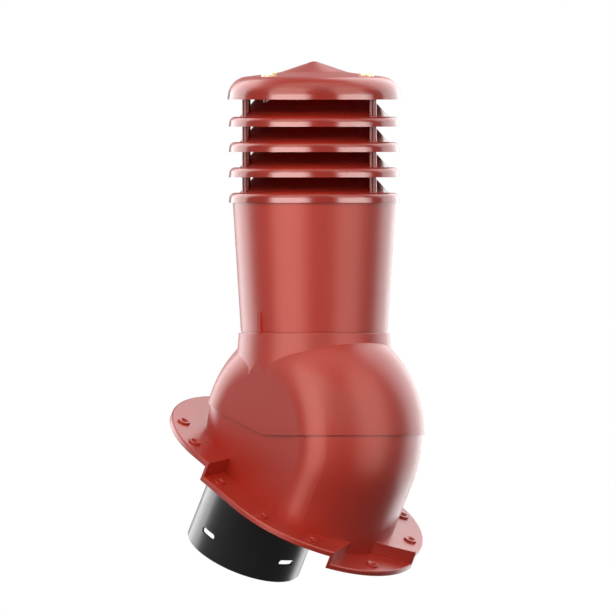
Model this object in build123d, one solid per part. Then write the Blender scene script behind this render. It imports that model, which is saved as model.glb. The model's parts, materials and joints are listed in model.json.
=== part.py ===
from build123d import *
from math import asin, atan2, cos, degrees, radians, sin, sqrt, tan
import os

# Roof ventilation chimney for a sloping roof, in millimetres.
# X runs down the slope, Y across it and Z up. The origin is where the duct's axis crosses the roof seat.

# Roof and duct
ROOF_PITCH = 30.0
DUCT_RADIUS = 75.0
DUCT_WALL = 3.0
WALL = 3.0
SLIP_FIT = 0.3

# Drum of the hood: a section turned about the tilt axis, which runs along Y
HOOD_RADIUS = 151.0
CROWN_RADIUS = 113.0
CORNER_RADIUS = 57.0
HOOD_HALF_WIDTH = 98.5
TILT_CLEARANCE = 0.4
TILT_UPHILL = 10.0
TILT_DOWNHILL = 15.0

# Lower rim of the hood: level on the downhill side, rising uphill
RIM_BREAK_X = 11.0
RIM_RISE = 20.0
RIM_BREAK_RADIUS = 60.0

# Collar on the hood, heights above the tilt axis
COLLAR_TOP = 129.0
COLLAR_WALL = 2.4
COLLAR_DRAFT = 5.0
COLLAR_EDGE = 1.2
LEDGE_THICKNESS = 3.0

# Outer tube, its inner duct and the foam between them
TUBE_FOOT_RADIUS = 92.4
TUBE_TOP_RADIUS = 102.7
TUBE_SHOWN_LENGTH = 164.0
TUBE_INSERTION = 27.0
TUBE_WALL = 2.5
GROOVE_HEIGHT = 1.4
GROOVE_DEPTH = 1.1
KEY_WIDTH = 6.0
KEY_HEIGHT = 25.0
KEY_PROUD = 1.6
DUCT_ABOVE_TUBE = 8.0

# Louvre rings of the head
RING_RADIUS = 107.7
RING_HEIGHT = 12.6
RING_BAND = 6.0
BAND_DRAFT = 7.0
RING_PITCH = 31.9
RING_WALL = 2.8
LAND_INNER_RADIUS = 94.0
BLADE_TOP_RADIUS = 70.0
BLADE_ANGLE = 48.0
SPIGOT_DEPTH = 17.0
TUBE_SEAT_DROP = 1.8
POST_COUNT = 3
POST_CIRCLE = 92.5
POST_RADIUS = 5.5
POST_TURN = 9.2
PIP_RADIUS = 2.5
PIP_HEIGHT = 5.0

# Cap
CAP_RADIUS = 109.5
CAP_ABOVE_UPPER_RING = 34.2
CAP_HEIGHT = 48.9
CAP_CONE_RADIUS = 42.8
CAP_CONE_HEIGHT = 14.5
CAP_BRIM_SLOPE = 7.1
CAP_SHOULDER_RADIUS = 26.0
CAP_FOOT_RADIUS = 30.0
CAP_TIP_RADIUS = 12.0

# Cap screws with washers
SCREW_COUNT = 3
SCREW_CIRCLE = 71.0
SCREW_TURN = -96.0
SCREW_RADIUS = 3.0
SCREW_LENGTH = 24.0
HEAD_RADIUS = 8.0
HEAD_HEIGHT = 4.0
WASHER_RADIUS = 10.0
WASHER_THICKNESS = 1.6
POCKET_RADIUS = 11.0
POCKET_DEPTH = 0.5
PILLAR_RADIUS = 7.0
THREAD_CLEARANCE = 0.1

# Roof flange, in the plane of the roof with the tilt axis as zero
FLANGE_END_RADIUS = 141.5
FLANGE_END_OFFSET = 49.0
UPPER_LEVEL = -52.3
MIDDLE_LEVEL = -71.6
LOWER_LEVEL = -88.2
UPPER_STEP = -59.0
UPPER_STEP_SLANT = 0.28
LOWER_STEP = 136.0
LOWER_STEP_SLANT = 0.51
PLATE = 3.5
EDGE_DEPTH = 6.8
EDGE_WIDTH = 4.0
EDGE_ROUND = 2.0

# Screw bosses along the flange
BOSS_LINE_RADIUS = 125.0
BOSS_RADIUS = 8.0
BOSS_HEIGHT = 2.5
BOSS_HOLE_RADIUS = 2.5
BOSS_DISH_RADIUS = 5.5
BOSS_DISH_DEPTH = 1.6
UPHILL_BOSS_ANGLES = (0, 53, -53, 79, -79)
SIDE_BOSS_OFFSET = -6.0
DOWNHILL_BOSS_ANGLES = (0, 43, -43, 76, -76)

# Duct stub and its seat in the base
STUB_OFFSET = -39.0
STUB_RIM_LEVEL = -193.0
SOCKET_HEIGHT = 28.0
STUB_SHOULDER = 1.0
STUB_COLLAR_WIDTH = 7.0
STUB_COLLAR_THICKNESS = 4.0
SEAL_THICKNESS = 2.5
SLOT_LENGTH = 24.0
SLOT_WIDTH = 7.0
SLOT_ABOVE_RIM = 28.0
SLOT_COUNT = 4

# Opening through the top of the dome, which the hood always covers
OPENING_MARGIN = 2.0

# Values that follow from the ones above
CROWN_CENTRE = HOOD_RADIUS - CROWN_RADIUS
CORNER_CENTRE_Y = HOOD_HALF_WIDTH - CORNER_RADIUS
CORNER_CENTRE_X = CROWN_CENTRE + sqrt((CROWN_RADIUS - CORNER_RADIUS) ** 2 - CORNER_CENTRE_Y ** 2)
DOME_INSET = WALL + TILT_CLEARANCE
SEAT_LEVEL = MIDDLE_LEVEL - EDGE_DEPTH
LOW_SEAT_LEVEL = LOWER_LEVEL - EDGE_DEPTH
FAR = 4 * FLANGE_END_RADIUS

COLLAR_BORE = TUBE_FOOT_RADIUS + SLIP_FIT
COLLAR_RADIUS = COLLAR_BORE + COLLAR_WALL
TUBE_FOOT = COLLAR_TOP - TUBE_INSERTION
LEDGE_BOTTOM = TUBE_FOOT - LEDGE_THICKNESS
HEAD_BOTTOM = COLLAR_TOP + TUBE_SHOWN_LENGTH
LAND_UNDERSIDE = RING_HEIGHT - RING_WALL
TUBE_TOP = HEAD_BOTTOM + LAND_UNDERSIDE - TUBE_SEAT_DROP
TUBE_TAPER = (TUBE_TOP_RADIUS - TUBE_FOOT_RADIUS) / TUBE_SHOWN_LENGTH
DUCT_BORE = DUCT_RADIUS - DUCT_WALL
POST_LENGTH = RING_PITCH - RING_WALL
UPPER_RING_BOTTOM = HEAD_BOTTOM + 3 * RING_PITCH
CAP_BOTTOM = UPPER_RING_BOTTOM + CAP_ABOVE_UPPER_RING
POST_TOP = UPPER_RING_BOTTOM + RING_HEIGHT + POST_LENGTH
SHOULDER_RADIUS = DUCT_RADIUS + STUB_SHOULDER
SOCKET_BORE = SHOULDER_RADIUS + SLIP_FIT

# The tilt axis in the row's frame, and the placings of pieces drawn about it
SLOPE = radians(ROOF_PITCH)
TILT_X = -(STUB_OFFSET * cos(SLOPE) + SEAT_LEVEL * sin(SLOPE))
TILT_Z = STUB_OFFSET * sin(SLOPE) - SEAT_LEVEL * cos(SLOPE)
UPRIGHT = Pos(TILT_X, 0, TILT_Z)
ON_ROOF = UPRIGHT * Rot(0, ROOF_PITCH, 0)


def ring(outer, inner, bottom, top):
    """A plain round ring about Z."""
    height = top - bottom
    section = Circle(outer) - Circle(inner)
    return Pos(0, 0, bottom) * extrude(section, amount=height)


def rod(x, y, radius, bottom, top):
    """A plain round rod along Z."""
    return Pos(x, y, bottom) * extrude(Circle(radius), amount=top - bottom)


def slab(section, bottom, top):
    """A plan section raised between two levels."""
    return Pos(0, 0, bottom) * extrude(section, amount=top - bottom)


def turned(outline):
    """An outline of radius and height, turned about Z."""
    return revolve(Plane.XZ * make_face(outline), Axis.Z)


def polygon(*points):
    """A closed outline through points, kept where it is drawn."""
    return Polygon(*points, align=None)


def rounded(section, corner, radius):
    """A section with one corner rounded."""
    return fillet(section.vertices().sort_by_distance(corner)[0], radius)


def around(count, radius, first):
    """Places on a circle about Z, the first one at an angle from X."""
    turns = [radians(first + 360 * i / count) for i in range(count)]
    return [(radius * cos(turn), radius * sin(turn)) for turn in turns]


def half_drum(inset):
    """Half the drum's section, with the radius along X and the tilt axis along Y."""
    crown = CROWN_RADIUS - inset
    corner = CORNER_RADIUS - inset
    side = HOOD_HALF_WIDTH - inset
    turn = degrees(atan2(CORNER_CENTRE_Y, CORNER_CENTRE_X - CROWN_CENTRE))
    outline = [
        Line((0, -side), (CORNER_CENTRE_X, -side)),
        CenterArc((CORNER_CENTRE_X, -CORNER_CENTRE_Y), corner, -90, 90 - turn),
        CenterArc((CROWN_CENTRE, 0), crown, -turn, 2 * turn),
        CenterArc((CORNER_CENTRE_X, CORNER_CENTRE_Y), corner, turn, 90 - turn),
        Line((CORNER_CENTRE_X, side), (0, side)),
        Line((0, side), (0, -side)),
    ]
    return make_face(outline)


def drum_plan(inset):
    """The drum's whole section in the plane of its axis."""
    half = half_drum(inset)
    return half + mirror(half, about=Plane.YZ)


def dome_plug(inset, foot):
    """Drum that goes on down to a foot level: straight on the downhill side, round on the uphill side."""
    three_quarters = revolve(half_drum(inset), Axis((0, 0, 0), (0, -1, 0)), 270)
    above_foot = slab(Rectangle(FAR, FAR), foot, HOOD_RADIUS)
    return (three_quarters & above_foot) + slab(half_drum(inset), foot, 0)


# Roof base

def uphill_of(step, slant):
    """Everything on the uphill side of a step line, which bends downhill away from the middle."""
    edge = step + slant * FAR
    return polygon((-FAR, -FAR), (edge, -FAR), (step, 0), (edge, FAR), (-FAR, FAR))


def flange_outline(end_radius):
    return SlotCenterToCenter(2 * FLANGE_END_OFFSET, 2 * end_radius)


def level_at(x, y):
    """Top level of the flange at a place in the roof's plane."""
    if x < UPPER_STEP + UPPER_STEP_SLANT * abs(y):
        return UPPER_LEVEL
    if x < LOWER_STEP + LOWER_STEP_SLANT * abs(y):
        return MIDDLE_LEVEL
    return LOWER_LEVEL


def boss_places():
    """Screw places on a line parallel to the flange's edge."""
    places = []
    for side, angles in ((-1, UPHILL_BOSS_ANGLES), (1, DOWNHILL_BOSS_ANGLES)):
        for angle in angles:
            turn = radians(angle)
            x = side * (FLANGE_END_OFFSET + BOSS_LINE_RADIUS * cos(turn))
            places.append((x, BOSS_LINE_RADIUS * sin(turn)))
    places += [(SIDE_BOSS_OFFSET, -BOSS_LINE_RADIUS), (SIDE_BOSS_OFFSET, BOSS_LINE_RADIUS)]
    return places


def flange_block(field, bottom, top):
    """The part of the flange over a field of its outline, with the outer edge rounded at the top."""
    block = slab(flange_outline(FLANGE_END_RADIUS), bottom, top)
    block = fillet(block.edges().group_by(Axis.Z)[-1], EDGE_ROUND)
    return block & slab(field, bottom, top)


def flange():
    """Stepped plate with a turned-down edge and a riser at each step."""
    outline = flange_outline(FLANGE_END_RADIUS)
    inside = flange_outline(FLANGE_END_RADIUS - EDGE_WIDTH)
    above_upper = uphill_of(UPPER_STEP, UPPER_STEP_SLANT)
    above_lower = uphill_of(LOWER_STEP, LOWER_STEP_SLANT)
    upper = outline & above_upper
    middle = (outline & above_lower) - above_upper
    lower = outline - above_lower
    upper_riser = upper - uphill_of(UPPER_STEP - EDGE_WIDTH, UPPER_STEP_SLANT)
    lower_riser = (outline & above_lower) - uphill_of(LOWER_STEP - EDGE_WIDTH, LOWER_STEP_SLANT)
    body = flange_block(upper_riser, SEAT_LEVEL, UPPER_LEVEL)
    body += flange_block(lower_riser, LOW_SEAT_LEVEL, MIDDLE_LEVEL)
    for field, level in ((upper, UPPER_LEVEL), (middle, MIDDLE_LEVEL), (lower, LOWER_LEVEL)):
        bottom = level - EDGE_DEPTH
        body += flange_block(field, bottom, level) - slab(inside, bottom, level - PLATE)
    return body


def dome_opening():
    """The window in the dome that the hood's collar and its tube move over."""
    dome_radius = HOOD_RADIUS - DOME_INSET
    collar_turn = degrees(asin(COLLAR_RADIUS / (dome_radius - WALL)))
    margin_turn = degrees(OPENING_MARGIN / dome_radius)
    uphill = ROOF_PITCH + TILT_UPHILL + collar_turn + margin_turn
    downhill = TILT_DOWNHILL - ROOF_PITCH + collar_turn + margin_turn
    corner = CORNER_RADIUS - DOME_INSET
    half_width = CORNER_CENTRE_Y + sqrt(corner ** 2 - (LEDGE_BOTTOM - OPENING_MARGIN - CORNER_CENTRE_X) ** 2)
    window = Pos(HOOD_RADIUS, 0) * Rectangle(HOOD_RADIUS, 2 * half_width)
    sweep = revolve(window, Axis((0, 0, 0), (0, -1, 0)), uphill + downhill)
    return Rot(0, downhill - 90, 0) * sweep


def roof_base():
    hollow = dome_plug(DOME_INSET + WALL, LOW_SEAT_LEVEL)
    toe = drum_plan(DOME_INSET) - uphill_of(LOWER_STEP - EDGE_WIDTH, LOWER_STEP_SLANT)
    body = dome_plug(DOME_INSET, SEAT_LEVEL) + slab(toe, LOW_SEAT_LEVEL, MIDDLE_LEVEL)
    body += flange()
    for x, y in boss_places():
        level = level_at(x, y)
        body += rod(x, y, BOSS_RADIUS, level - PLATE, level + BOSS_HEIGHT)
    body -= hollow
    body += slab(drum_plan(DOME_INSET), SEAT_LEVEL, SEAT_LEVEL + PLATE)
    socket_top = SEAT_LEVEL + SOCKET_HEIGHT
    body += Pos(STUB_OFFSET, 0) * ring(SOCKET_BORE + WALL, SOCKET_BORE, SEAT_LEVEL, socket_top)
    body -= rod(STUB_OFFSET, 0, SOCKET_BORE, SEAT_LEVEL - PLATE, socket_top)
    dish = turned(Polyline((0, 0), (BOSS_HOLE_RADIUS, 0), (BOSS_DISH_RADIUS, BOSS_DISH_DEPTH),
                           (0, BOSS_DISH_DEPTH), close=True))
    for x, y in boss_places():
        level = level_at(x, y)
        body -= rod(x, y, BOSS_HOLE_RADIUS, level - EDGE_DEPTH, level + BOSS_HEIGHT)
        body -= Pos(x, y, level + BOSS_HEIGHT - BOSS_DISH_DEPTH) * dish
    return body - dome_opening()


# Duct stub

def duct_stub():
    collar_bottom = SEAT_LEVEL + SOCKET_HEIGHT + SEAL_THICKNESS
    collar_top = collar_bottom + STUB_COLLAR_THICKNESS
    body = ring(DUCT_RADIUS, DUCT_BORE, STUB_RIM_LEVEL, collar_top)
    body += ring(SHOULDER_RADIUS, DUCT_BORE, SEAT_LEVEL, collar_top)
    body += ring(SHOULDER_RADIUS + STUB_COLLAR_WIDTH, DUCT_BORE, collar_bottom, collar_top)
    slot_outline = Rot(0, 0, 90) * SlotOverall(SLOT_LENGTH, SLOT_WIDTH)
    slot = Rot(0, 90, 0) * extrude(slot_outline, amount=2 * DUCT_RADIUS)
    for i in range(SLOT_COUNT):
        body -= Pos(0, 0, STUB_RIM_LEVEL + SLOT_ABOVE_RIM) * Rot(0, 0, 360 * i / SLOT_COUNT) * slot
    return Pos(STUB_OFFSET, 0) * body


def stub_seal():
    bottom = SEAT_LEVEL + SOCKET_HEIGHT
    outer = SHOULDER_RADIUS + STUB_COLLAR_WIDTH
    return Pos(STUB_OFFSET, 0) * ring(outer, SOCKET_BORE, bottom, bottom + SEAL_THICKNESS)


# Tilting hood

def below_rim():
    """All that lies below the hood's rim line, across the whole width."""
    rise = RIM_BREAK_X + FAR
    outline = [
        (FAR, 0),
        (RIM_BREAK_X, 0),
        (-FAR, rise * tan(radians(RIM_RISE))),
        (-FAR, -FAR),
        (FAR, -FAR),
    ]
    section = rounded(polygon(*outline), (RIM_BREAK_X, 0), RIM_BREAK_RADIUS)
    return extrude(Plane.XZ * section, amount=FAR, both=True)


def tilt_hood():
    drop = COLLAR_TOP - CORNER_CENTRE_X
    collar_foot_radius = COLLAR_RADIUS + drop * tan(radians(COLLAR_DRAFT))
    section = polygon((0, CORNER_CENTRE_X), (collar_foot_radius, CORNER_CENTRE_X),
                      (COLLAR_RADIUS, COLLAR_TOP), (0, COLLAR_TOP))
    section = rounded(section, (COLLAR_RADIUS, COLLAR_TOP), COLLAR_EDGE)
    between_sides = slab(Rectangle(FAR, 2 * HOOD_HALF_WIDTH), 0, COLLAR_TOP)
    body = revolve(half_drum(0), Axis.Y) + (revolve(Plane.XZ * section, Axis.Z) & between_sides)
    body -= revolve(half_drum(WALL), Axis.Y)
    body += ring(COLLAR_RADIUS, COLLAR_BORE, LEDGE_BOTTOM, COLLAR_TOP - 2 * COLLAR_EDGE)
    body -= rod(0, 0, COLLAR_BORE, 0, HOOD_RADIUS)
    body += ring(COLLAR_RADIUS, DUCT_BORE, LEDGE_BOTTOM, TUBE_FOOT)
    return body - below_rim()


# Outer tube, inner duct and insulation

def tube_radius(height):
    """Outer radius of the tapered tube at a height above the tilt axis."""
    return TUBE_FOOT_RADIUS + TUBE_TAPER * (height - COLLAR_TOP)


def outer_tube():
    bore = TUBE_FOOT_RADIUS - TUBE_WALL
    body = turned(Polyline(
        (bore, TUBE_FOOT), (TUBE_FOOT_RADIUS, TUBE_FOOT),
        (TUBE_FOOT_RADIUS, COLLAR_TOP), (tube_radius(TUBE_TOP), TUBE_TOP),
        (tube_radius(TUBE_TOP) - TUBE_WALL, TUBE_TOP), (bore, COLLAR_TOP), close=True))
    body -= ring(COLLAR_RADIUS, TUBE_FOOT_RADIUS - GROOVE_DEPTH, COLLAR_TOP, COLLAR_TOP + GROOVE_HEIGHT)
    key_outer = tube_radius(COLLAR_TOP + KEY_HEIGHT) + KEY_PROUD
    key_inner = TUBE_FOOT_RADIUS - TUBE_WALL / 2
    key = Pos(0, -(key_outer + key_inner) / 2) * Rectangle(KEY_WIDTH, key_outer - key_inner)
    return body + slab(key, COLLAR_TOP, COLLAR_TOP + KEY_HEIGHT)


def inner_duct():
    return ring(DUCT_RADIUS, DUCT_BORE, TUBE_FOOT, TUBE_TOP + DUCT_ABOVE_TUBE)


def insulation_sleeve():
    top = TUBE_TOP - SPIGOT_DEPTH
    inset = TUBE_WALL + SLIP_FIT
    foot_radius = TUBE_FOOT_RADIUS - inset
    inner = DUCT_RADIUS + SLIP_FIT
    return turned(Polyline(
        (inner, TUBE_FOOT), (foot_radius, TUBE_FOOT), (foot_radius, COLLAR_TOP),
        (tube_radius(top) - inset, top), (inner, top), close=True))


# Louvre head

def louvre_ring(bottom):
    """Drip ring with a conical blade inside and posts that carry the next ring."""
    lean = radians(BLADE_ANGLE)
    blade_top = RING_HEIGHT + (LAND_INNER_RADIUS - BLADE_TOP_RADIUS) * tan(lean)
    blade_under = blade_top - RING_WALL / cos(lean)
    under_land = LAND_INNER_RADIUS - RING_WALL * tan(lean / 2)
    draft = radians(BAND_DRAFT)
    band_inner = RING_RADIUS - RING_WALL / cos(draft)
    shoulder = (RING_RADIUS - RING_HEIGHT * tan(draft), RING_HEIGHT)
    inner_shoulder = (band_inner - LAND_UNDERSIDE * tan(draft), LAND_UNDERSIDE)
    section = polygon(
        (RING_RADIUS, 0), shoulder, (LAND_INNER_RADIUS, RING_HEIGHT),
        (BLADE_TOP_RADIUS, blade_top), (BLADE_TOP_RADIUS, blade_under),
        (under_land, LAND_UNDERSIDE), inner_shoulder, (band_inner, 0))
    round_radius = (RING_HEIGHT - RING_BAND) / cos(draft) * tan(radians(90 + BAND_DRAFT) / 2)
    section = rounded(section, shoulder, round_radius)
    section = rounded(section, inner_shoulder, RING_WALL)
    body = revolve(Plane.XZ * section, Axis.Z)
    for x, y in around(POST_COUNT, POST_CIRCLE, POST_TURN):
        post_top = RING_HEIGHT + POST_LENGTH
        body += rod(x, y, POST_RADIUS, LAND_UNDERSIDE, post_top)
        body += rod(x, y, PIP_RADIUS, post_top, post_top + PIP_HEIGHT)
    return Pos(0, 0, bottom) * body


def pip_sockets(bottom):
    """Blind holes that the pips of the ring below fit into."""
    holes = Part()
    for x, y in around(POST_COUNT, POST_CIRCLE, POST_TURN):
        holes += rod(x, y, PIP_RADIUS + SLIP_FIT, bottom, bottom + PIP_HEIGHT + SLIP_FIT)
    return holes


def head_base_ring():
    spigot_radius = tube_radius(TUBE_TOP - SPIGOT_DEPTH) - TUBE_WALL - SLIP_FIT
    spigot_bore = spigot_radius - RING_WALL
    land = TUBE_TOP + TUBE_SEAT_DROP + RING_WALL / 2
    spigot = ring(spigot_radius, spigot_bore, TUBE_TOP - SPIGOT_DEPTH, land)
    seat = ring(tube_radius(TUBE_TOP) - TUBE_WALL / 2, spigot_bore, TUBE_TOP, land)
    return louvre_ring(HEAD_BOTTOM) + spigot + seat


def stacked_ring(index):
    bottom = HEAD_BOTTOM + index * RING_PITCH
    return louvre_ring(bottom) - pip_sockets(bottom + LAND_UNDERSIDE)


def screw_places():
    return around(SCREW_COUNT, SCREW_CIRCLE, SCREW_TURN)


def cap_plug(inset):
    """The cap's outer form, or its hollow, as a solid."""
    draft = tan(radians(BAND_DRAFT))
    slope = tan(radians(CAP_BRIM_SLOPE))
    apex = CAP_BOTTOM + CAP_HEIGHT - inset
    cone_foot = apex - CAP_CONE_HEIGHT
    rim = CAP_RADIUS - inset / cos(radians(BAND_DRAFT))
    rise = (cone_foot - CAP_BOTTOM - (rim - CAP_CONE_RADIUS) * slope) / (1 - draft * slope)
    shoulder = (rim - rise * draft, CAP_BOTTOM + rise)
    lean = atan2(CAP_CONE_HEIGHT, CAP_CONE_RADIUS)
    tip_radius = CAP_TIP_RADIUS - inset
    tip_centre = apex - tip_radius / cos(lean)
    tip_foot = (tip_radius * sin(lean), tip_centre + tip_radius * cos(lean))
    tip = CenterArc((0, tip_centre), tip_radius, 90 - degrees(lean), degrees(lean))
    sides = Polyline((0, tip_centre + tip_radius), (0, CAP_BOTTOM), (rim, CAP_BOTTOM), shoulder,
                     (CAP_CONE_RADIUS, cone_foot), tip_foot)
    section = make_face([sides, tip])
    section = rounded(section, shoulder, CAP_SHOULDER_RADIUS - inset)
    section = rounded(section, (CAP_CONE_RADIUS, cone_foot), CAP_FOOT_RADIUS + inset)
    return revolve(Plane.XZ * section, Axis.Z)


def cap_level(radius):
    """Height of the brim's upper face at a radius."""
    cone_foot = CAP_BOTTOM + CAP_HEIGHT - CAP_CONE_HEIGHT
    return cone_foot - (radius - CAP_CONE_RADIUS) * tan(radians(CAP_BRIM_SLOPE))


def screw_seat():
    """Floor of a screw's pocket, whose depth is taken at its outer side."""
    return cap_level(SCREW_CIRCLE + POCKET_RADIUS) - POCKET_DEPTH


def pillar_top():
    """Where a pillar meets the boss under its screw's pocket."""
    return screw_seat() - 2 * WALL


def louvre_ring_upper():
    """The top ring also carries the pillars that the cap screws hold in."""
    body = stacked_ring(3)
    lean = tan(radians(BLADE_ANGLE))
    foot = UPPER_RING_BOTTOM + RING_HEIGHT + (LAND_INNER_RADIUS - SCREW_CIRCLE - PILLAR_RADIUS) * lean
    hole_bottom = screw_seat() - SCREW_LENGTH
    for x, y in screw_places():
        body += rod(x, y, PILLAR_RADIUS, foot, pillar_top())
        body -= rod(x, y, SCREW_RADIUS + THREAD_CLEARANCE, hole_bottom, pillar_top())
    return body


def vent_cap():
    body = cap_plug(0) - cap_plug(WALL)
    inside = cap_plug(WALL / 2)
    apex = CAP_BOTTOM + CAP_HEIGHT
    for x, y in around(POST_COUNT, POST_CIRCLE, POST_TURN):
        body += inside & rod(x, y, POST_RADIUS, POST_TOP, apex)
    for x, y in screw_places():
        body += inside & rod(x, y, POCKET_RADIUS + WALL, pillar_top(), apex)
        body -= rod(x, y, POCKET_RADIUS, screw_seat(), apex)
        body -= rod(x, y, SCREW_RADIUS + SLIP_FIT, pillar_top(), apex)
    return body - pip_sockets(POST_TOP)


def cap_screws():
    """Pan-head screws on a circle round the cap's cone."""
    seat = screw_seat() + WASHER_THICKNESS
    crown = (HEAD_RADIUS ** 2 + HEAD_HEIGHT ** 2) / (2 * HEAD_HEIGHT)
    outline = [
        Polyline((0, seat + HEAD_HEIGHT), (0, seat - SCREW_LENGTH), (SCREW_RADIUS, seat - SCREW_LENGTH),
                 (SCREW_RADIUS, seat), (HEAD_RADIUS, seat)),
        RadiusArc((HEAD_RADIUS, seat), (0, seat + HEAD_HEIGHT), -crown),
    ]
    screw = turned(outline)
    return Part() + [Pos(x, y) * screw for x, y in screw_places()]


def cap_washers():
    seat = screw_seat()
    washer = ring(WASHER_RADIUS, SCREW_RADIUS + SLIP_FIT, seat, seat + WASHER_THICKNESS)
    return Part() + [Pos(x, y) * washer for x, y in screw_places()]


roof_pieces = {
    "roof_base": roof_base(),
    "duct_stub": duct_stub(),
    "stub_seal": stub_seal(),
}
upright_pieces = {
    "tilt_hood": tilt_hood(),
    "outer_tube": outer_tube(),
    "inner_duct": inner_duct(),
    "insulation_sleeve": insulation_sleeve(),
    "head_base_ring": head_base_ring(),
    "louvre_ring_lower": stacked_ring(1),
    "louvre_ring_middle": stacked_ring(2),
    "louvre_ring_upper": louvre_ring_upper(),
    "vent_cap": vent_cap(),
    "cap_screws": cap_screws(),
    "cap_washers": cap_washers(),
}

os.makedirs("parts", exist_ok=True)
for placing, pieces in ((ON_ROOF, roof_pieces), (UPRIGHT, upright_pieces)):
    for name, piece in pieces.items():
        placed = [placing * solid for solid in piece.solids()]
        export_step(placed[0] if len(placed) == 1 else Compound(placed), f"parts/{name}.step")
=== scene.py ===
import json
import math
from collections import namedtuple

import bmesh
import bpy
from mathutils import Matrix, Vector


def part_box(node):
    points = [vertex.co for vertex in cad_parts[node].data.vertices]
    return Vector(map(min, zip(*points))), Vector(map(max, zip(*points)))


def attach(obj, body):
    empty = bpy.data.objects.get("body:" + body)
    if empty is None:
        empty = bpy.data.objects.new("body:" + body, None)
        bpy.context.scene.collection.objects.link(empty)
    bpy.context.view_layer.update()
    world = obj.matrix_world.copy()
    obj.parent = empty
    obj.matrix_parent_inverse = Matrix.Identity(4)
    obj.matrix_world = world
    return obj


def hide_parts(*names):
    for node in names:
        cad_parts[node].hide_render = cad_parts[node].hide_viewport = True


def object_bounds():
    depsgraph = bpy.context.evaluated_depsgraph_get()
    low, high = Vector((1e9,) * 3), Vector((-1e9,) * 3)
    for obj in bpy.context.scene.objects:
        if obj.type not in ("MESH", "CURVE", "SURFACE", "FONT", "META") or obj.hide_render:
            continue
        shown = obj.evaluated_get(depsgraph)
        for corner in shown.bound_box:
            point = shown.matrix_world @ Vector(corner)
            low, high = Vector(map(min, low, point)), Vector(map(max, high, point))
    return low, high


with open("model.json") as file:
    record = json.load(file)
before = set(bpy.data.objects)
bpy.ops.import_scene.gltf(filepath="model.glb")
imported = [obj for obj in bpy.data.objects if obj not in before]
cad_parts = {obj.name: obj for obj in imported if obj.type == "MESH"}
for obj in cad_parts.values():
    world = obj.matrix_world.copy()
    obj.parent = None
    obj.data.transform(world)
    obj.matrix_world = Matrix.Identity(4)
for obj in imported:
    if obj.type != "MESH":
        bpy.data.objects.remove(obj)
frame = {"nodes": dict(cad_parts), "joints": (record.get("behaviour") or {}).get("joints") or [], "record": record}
cad_low, cad_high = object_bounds()

# Picture: its side in pixels, the metres that a pixel covers and where the tilt axis lies in it
PICTURE_SIDE = 616
METRES_PER_PIXEL = 0.00126
TILT_AXIS_PIXEL = (314.2, 435.2)
VIEW_AZIMUTH = math.radians(47)
CAMERA_DISTANCE = 3.0

# Colours, linear
RED = (0.39, 0.021, 0.010)
RED_WORN = (0.405, 0.024, 0.012)
BLACK = (0.012, 0.012, 0.0125)
BLACK_WORN = (0.022, 0.022, 0.022)
RUBBER = (0.016, 0.016, 0.016)
FOAM = (0.50, 0.50, 0.48)
BRASS = (0.78, 0.68, 0.46)
BRASS_WORN = (0.84, 0.76, 0.56)
WHITE = (1.0, 1.0, 1.0)
PALE = (0.9, 0.9, 0.9)
WARM_LIGHT = (1.0, 0.97, 0.86)
WHITE_LIGHT = (1.0, 1.0, 1.0)

# Finishes by material slot, with one more for the louvre head; the grain's size and depth are in metres
Finish = namedtuple("Finish", "colour worn roughness grain_size grain_depth metallic polished",
                    defaults=(0.0, None))
FINISHES = {
    "red_plastic": Finish(RED, RED_WORN, 0.35, 0.0006, 0.00004),
    "black_plastic": Finish(BLACK, BLACK_WORN, 0.30, 0.0006, 0.00004),
    "seal_rubber": Finish(RUBBER, BLACK_WORN, 0.70, 0.0008, 0.00006),
    "foam": Finish(FOAM, WHITE, 0.90, 0.003, 0.0006),
    "brass": Finish(BRASS, BRASS_WORN, 0.22, 0.0004, 0.00003, metallic=1.0),
    "red_lip": Finish(RED, RED_WORN, 0.30, 0.0006, 0.00004, polished=0.17),
}
NOISE_LOW = 0.3
NOISE_HIGH = 0.7
SHADE_SCALE = 14.0
SHADE_DETAIL = 4.0
SHADE_SHARE = 0.35
GLOSS_SCALE = 55.0
GLOSS_DETAIL = 5.0
GLOSS_SPREAD = 0.015
GRAIN_DETAIL = 2.0
GRAIN_STRENGTH = 0.25
UPRIGHT_SLOPE = 0.2
SLOPING_SLOPE = 0.45

# Studio lamps: turn from the camera to the right, elevation, width and height, all in degrees,
# then the radiance, the colour, whether they light the colour or the gloss, and the group that they light
Lamp = namedtuple("Lamp", "turn elevation width height radiance light effect group")
LAMPS = {
    "left_softbox": Lamp(-37, 11, 50, 88, 3.7, WARM_LIGHT, "gloss", "above_roof"),
    "right_softbox": Lamp(52, 11, 42, 88, 2.9, WARM_LIGHT, "gloss", "above_roof"),
    "top_softbox": Lamp(0, 74, 60, 24, 1.8, WARM_LIGHT, "gloss", "all"),
    "left_rim_light": Lamp(-128, 12, 46, 84, 4.2, WHITE_LIGHT, "gloss", "all"),
    "right_rim_light": Lamp(135, 18, 60, 96, 3.0, WHITE_LIGHT, "gloss", "all"),
    "body_key": Lamp(-12, 26, 100, 36, 2.9, WARM_LIGHT, "colour", "body"),
    "low_fill": Lamp(-10, -10, 110, 40, 0.8, WHITE_LIGHT, "colour", "body"),
    "head_key": Lamp(-15, 52, 100, 40, 2.9, WARM_LIGHT, "colour", "head"),
    "floor_glow": Lamp(0, -65, 100, 30, 3.5, WARM_LIGHT, "colour", "head"),
    "left_lip_strip": Lamp(-32, 12, 52, 13, 7.6, WHITE_LIGHT, "gloss", "head"),
    "right_lip_strip": Lamp(57, 11, 46, 13, 7.2, WHITE_LIGHT, "gloss", "head"),
    "back_fill": Lamp(180, 45, 90, 40, 1.4, WHITE_LIGHT, "colour", "all"),
    "floor_light": Lamp(0, 90, 110, 110, 1.2, WHITE_LIGHT, "colour", "floor"),
}
LAMP_DISTANCE = 1.8
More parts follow.
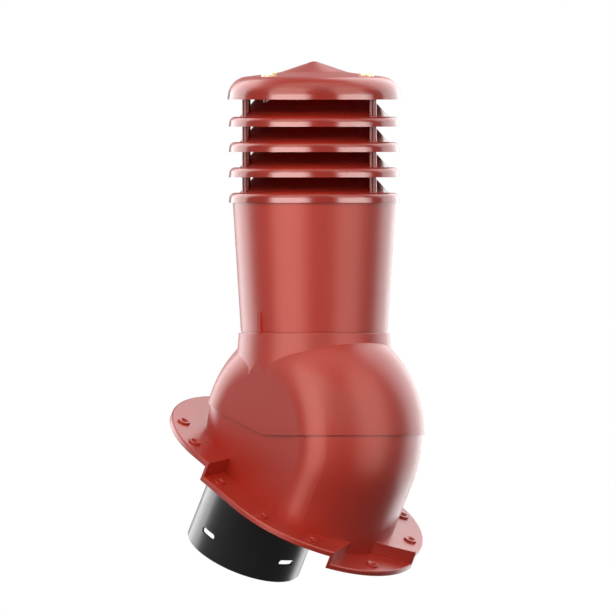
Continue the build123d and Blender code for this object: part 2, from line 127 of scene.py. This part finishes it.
HEAD_NODES = ("head_base_ring", "louvre_ring_lower", "louvre_ring_middle", "louvre_ring_upper", "vent_cap")

# Room around the object: its brightness for colour and for gloss, and the share of the gloss left below
ROOM_BRIGHTNESS = 0.03
ROOM_GLOSS = 0.50
LOW_GLOSS_SHARE = 0.4
LOW_GLOSS_HEIGHT = -0.5

# Floor in metres, with the shares of its radius where it starts and ends to fade
FLOOR_RADIUS = 3.0
FLOOR_SIDES = 64
FADE_START = 0.35
FADE_END = 0.95
FLOOR_BOUNCE = (0.12, 0.12, 0.12)

# Cap screws with hexagon heads, in metres
SCREW_COUNT = 3
SCREW_CIRCLE = 0.071
SCREW_TURN = math.radians(-96)
SCREW_RADIUS = 0.003
SCREW_FLATS = 0.017
SCREW_EDGE = 0.0005
EDGE_SEGMENTS = 2
HEX_SIDES = 6
HEX_TURN = math.radians(10)
SHANK_SIDES = 24

scene = bpy.context.scene
nodes = frame["nodes"]
tilt_axis = Vector(frame["joints"][0]["pos_m"])


# Node trees

class Tree:
    """A short way to add and join the nodes of a material or of the room."""

    def __init__(self, tree):
        self.tree = tree

    def clear(self):
        self.tree.nodes.clear()

    def add(self, kind, **settings):
        node = self.tree.nodes.new(kind)
        for name, value in settings.items():
            setattr(node, name, value)
        return node

    def link(self, source, target):
        self.tree.links.new(source, target)

    def noise(self, coordinates, scale, detail):
        node = self.add("ShaderNodeTexNoise")
        node.inputs["Scale"].default_value = scale
        node.inputs["Detail"].default_value = detail
        self.link(coordinates, node.inputs["Vector"])
        return node.outputs["Fac"]

    def ramp(self, value, low, high, low_to, high_to):
        node = self.add("ShaderNodeMapRange")
        node.inputs["From Min"].default_value = low
        node.inputs["From Max"].default_value = high
        node.inputs["To Min"].default_value = low_to
        node.inputs["To Max"].default_value = high_to
        self.link(value, node.inputs["Value"])
        return node.outputs["Result"]

    def blend(self, value, first, second):
        node = self.add("ShaderNodeMix", data_type="RGBA")
        node.inputs["A"].default_value = (*first, 1)
        node.inputs["B"].default_value = (*second, 1)
        self.link(value, node.inputs["Factor"])
        return node.outputs["Result"]

    def math(self, operation, first, second):
        node = self.add("ShaderNodeMath", operation=operation)
        self.link(first, node.inputs[0])
        self.link(second, node.inputs[1])
        return node.outputs["Value"]

    def height_of(self, vector):
        axes = self.add("ShaderNodeSeparateXYZ")
        self.link(vector, axes.inputs["Vector"])
        return axes.outputs["Z"]

    def upright_to(self, share):
        """One on faces that slope, and a share of it on upright faces such as lips and posts."""
        slope = self.add("ShaderNodeMath", operation="ABSOLUTE")
        self.link(self.height_of(self.add("ShaderNodeTexCoord").outputs["Normal"]), slope.inputs[0])
        return self.ramp(slope.outputs["Value"], UPRIGHT_SLOPE, SLOPING_SLOPE, share, 1.0)

    def bump(self, height, strength, distance):
        node = self.add("ShaderNodeBump")
        node.inputs["Strength"].default_value = strength
        node.inputs["Distance"].default_value = distance
        self.link(height, node.inputs["Height"])
        return node.outputs["Normal"]


# Camera and studio

def around_camera(turn, elevation=0.0):
    """Level direction from the object, turned from the camera's to the right, then raised, in degrees."""
    angle = VIEW_AZIMUTH + math.radians(turn)
    rise = math.radians(elevation)
    return Vector((math.sin(angle) * math.cos(rise), -math.cos(angle) * math.cos(rise), math.sin(rise)))


def aim(obj, target):
    obj.rotation_euler = (target - obj.location).to_track_quat("-Z", "Y").to_euler()


def add_camera():
    """Level camera without perspective; returns the point in the middle of its picture."""
    right = Vector((math.cos(VIEW_AZIMUTH), math.sin(VIEW_AZIMUTH), 0))
    middle = PICTURE_SIDE / 2
    target = tilt_axis + right * (middle - TILT_AXIS_PIXEL[0]) * METRES_PER_PIXEL
    target.z += (TILT_AXIS_PIXEL[1] - middle) * METRES_PER_PIXEL
    data = bpy.data.cameras.new("camera")
    data.type = "ORTHO"
    data.ortho_scale = PICTURE_SIDE * METRES_PER_PIXEL
    camera = bpy.data.objects.new("camera", data)
    camera.location = target + around_camera(0) * CAMERA_DISTANCE
    aim(camera, target)
    scene.collection.objects.link(camera)
    scene.camera = camera
    return target


def lamp_groups(screws, floor):
    """The louvre head, the rest, all above the roof, and the floor, for lamps that light only one of them."""
    groups = {name: bpy.data.collections.new(name) for name in ("head", "body", "above_roof", "floor")}
    for name, node in nodes.items():
        groups["head" if name in HEAD_NODES else "body"].objects.link(node)
        if name != "duct_stub":
            groups["above_roof"].objects.link(node)
    groups["above_roof"].objects.link(screws)
    groups["floor"].objects.link(floor)
    return groups


def add_lamps(target, groups):
    """Soft rectangular lamps that span their width and height as seen from the object."""
    head_middle = (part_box(HEAD_NODES[0])[0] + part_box(HEAD_NODES[-1])[1]) / 2
    for name, plan in LAMPS.items():
        data = bpy.data.lights.new(name, "AREA")
        data.color = plan.light
        data.shape = "RECTANGLE"
        data.size = 2 * LAMP_DISTANCE * math.tan(math.radians(plan.width / 2))
        data.size_y = 2 * LAMP_DISTANCE * math.tan(math.radians(plan.height / 2))
        data.energy = plan.radiance * math.pi * data.size * data.size_y
        lamp = bpy.data.objects.new(name, data)
        aimed_at = head_middle if plan.group == "head" else target
        lamp.location = aimed_at + around_camera(plan.turn, plan.elevation) * LAMP_DISTANCE
        aim(lamp, aimed_at)
        lamp.visible_camera = False
        lamp.visible_diffuse = plan.effect == "colour"
        lamp.visible_glossy = plan.effect == "gloss"
        scene.collection.objects.link(lamp)
        if plan.group in groups:
            lamp.light_linking.receiver_collection = groups[plan.group]


def add_world():
    """White where the camera looks, and elsewhere a grey room that is darker below."""
    world = bpy.data.worlds.new("studio")
    scene.world = world
    world.use_nodes = True
    tree = Tree(world.node_tree)
    tree.clear()
    ray = tree.add("ShaderNodeLightPath")
    height = tree.height_of(tree.add("ShaderNodeTexCoord").outputs["Generated"])
    mirrored = tree.ramp(height, LOW_GLOSS_HEIGHT, 0.0, LOW_GLOSS_SHARE * ROOM_GLOSS, ROOM_GLOSS)
    seen = tree.math("MAXIMUM", ray.outputs["Is Camera Ray"], ray.outputs["Is Transmission Ray"])
    lit = tree.add("ShaderNodeMix", data_type="FLOAT")
    lit.inputs["A"].default_value = ROOM_BRIGHTNESS
    tree.link(ray.outputs["Is Glossy Ray"], lit.inputs["Factor"])
    tree.link(mirrored, lit.inputs["B"])
    background = tree.add("ShaderNodeBackground")
    background.inputs["Color"].default_value = (*WHITE, 1)
    tree.link(tree.math("MAXIMUM", seen, lit.outputs["Result"]), background.inputs["Strength"])
    output = tree.add("ShaderNodeOutputWorld")
    tree.link(background.outputs["Background"], output.inputs["Surface"])


# Materials

def moulded(name, finish):
    """Moulded or turned surface with a fine grain and slow changes of shade and of gloss."""
    material = bpy.data.materials.new(name)
    material.use_nodes = True
    tree = Tree(material.node_tree)
    shader = material.node_tree.nodes["Principled BSDF"]
    shader.inputs["Metallic"].default_value = finish.metallic
    place = tree.add("ShaderNodeTexCoord").outputs["Object"]
    cloud = tree.noise(place, SHADE_SCALE, SHADE_DETAIL)
    shade = tree.ramp(cloud, NOISE_LOW, NOISE_HIGH, 0.0, SHADE_SHARE)
    tree.link(tree.blend(shade, finish.colour, finish.worn), shader.inputs["Base Color"])
    smear = tree.noise(place, GLOSS_SCALE, GLOSS_DETAIL)
    smoothest = finish.roughness - GLOSS_SPREAD
    roughest = finish.roughness + GLOSS_SPREAD
    gloss = tree.ramp(smear, NOISE_LOW, NOISE_HIGH, smoothest, roughest)
    if finish.polished:
        gloss = tree.math("MULTIPLY", gloss, tree.upright_to(finish.polished / finish.roughness))
    tree.link(gloss, shader.inputs["Roughness"])
    grain = tree.noise(place, 1 / finish.grain_size, GRAIN_DETAIL)
    tree.link(tree.bump(grain, GRAIN_STRENGTH, finish.grain_depth), shader.inputs["Normal"])
    return material


def floor_material():
    """Pale floor that fades into the white around it and shows in no reflection."""
    material = bpy.data.materials.new("pale_floor")
    material.use_nodes = True
    tree = Tree(material.node_tree)
    tree.clear()
    reach = tree.add("ShaderNodeVectorMath", operation="LENGTH")
    tree.link(tree.add("ShaderNodeTexCoord").outputs["Object"], reach.inputs[0])
    unseen = tree.ramp(reach.outputs["Value"], FADE_START * FLOOR_RADIUS, FADE_END * FLOOR_RADIUS, 0.0, 1.0)
    ray = tree.add("ShaderNodeLightPath")
    for kind in ("Is Glossy Ray", "Is Shadow Ray"):
        unseen = tree.math("MAXIMUM", unseen, ray.outputs[kind])
    pale = tree.add("ShaderNodeBsdfDiffuse")
    tree.link(tree.blend(ray.outputs["Is Camera Ray"], FLOOR_BOUNCE, PALE), pale.inputs["Color"])
    clear = tree.add("ShaderNodeBsdfTransparent")
    mixed = tree.add("ShaderNodeMixShader")
    tree.link(unseen, mixed.inputs[0])
    tree.link(pale.outputs[0], mixed.inputs[1])
    tree.link(clear.outputs[0], mixed.inputs[2])
    output = tree.add("ShaderNodeOutputMaterial")
    tree.link(mixed.outputs[0], output.inputs["Surface"])
    return material


def dress_nodes():
    """Each node takes the finish of its material slot, and the louvre head one with polished lips."""
    finishes = {name: moulded(f"{name}_finish", finish) for name, finish in FINISHES.items()}
    for part in frame["record"]["subparts"]:
        finish = "red_lip" if part["node"] in HEAD_NODES else part["material_slot"]
        materials = nodes[part["node"]].data.materials
        materials.clear()
        materials.append(finishes[finish])
    return finishes


# Cap screws

def add_cap_screws(brass):
    """Hexagon-head screws that stand on the washers and reach down into the pillars."""
    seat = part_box("cap_washers")[1].z
    foot, top = (corner.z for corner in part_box("cap_screws"))
    corner_radius = SCREW_FLATS / math.sqrt(3)
    mesh = bmesh.new()
    for i in range(SCREW_COUNT):
        turn = SCREW_TURN + 2 * math.pi * i / SCREW_COUNT
        place = Vector((tilt_axis.x, tilt_axis.y, 0))
        place += SCREW_CIRCLE * Vector((math.cos(turn), math.sin(turn), 0))
        for sides, radius, bottom, height in ((HEX_SIDES, corner_radius, seat, top - seat),
                                              (SHANK_SIDES, SCREW_RADIUS, foot, seat - foot)):
            middle = Matrix.Translation(place + Vector((0, 0, bottom + height / 2)))
            bmesh.ops.create_cone(mesh, cap_ends=True, segments=sides, radius1=radius, radius2=radius,
                                  depth=height, matrix=middle @ Matrix.Rotation(HEX_TURN, 4, "Z"))
    data = bpy.data.meshes.new("hexagon_screws")
    mesh.to_mesh(data)
    mesh.free()
    screws = bpy.data.objects.new("hexagon_screws", data)
    scene.collection.objects.link(screws)
    data.materials.append(brass)
    bevel = screws.modifiers.new("edges", "BEVEL")
    bevel.width = SCREW_EDGE
    bevel.segments = EDGE_SEGMENTS
    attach(screws, "hood")
    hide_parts("cap_screws")
    return screws


# Floor

def add_floor():
    """Round floor at the height of the object's lowest point."""
    bpy.ops.mesh.primitive_circle_add(vertices=FLOOR_SIDES, radius=FLOOR_RADIUS, fill_type="NGON")
    floor = bpy.context.object
    floor.name = "floor"
    floor.location = (tilt_axis.x, tilt_axis.y, cad_low.z)
    floor.data.materials.append(floor_material())
    return floor


scene.view_settings.view_transform = "Standard"
finishes = dress_nodes()
screws = add_cap_screws(finishes["brass"])
floor = add_floor()
target = add_camera()
add_lamps(target, lamp_groups(screws, floor))
add_world()
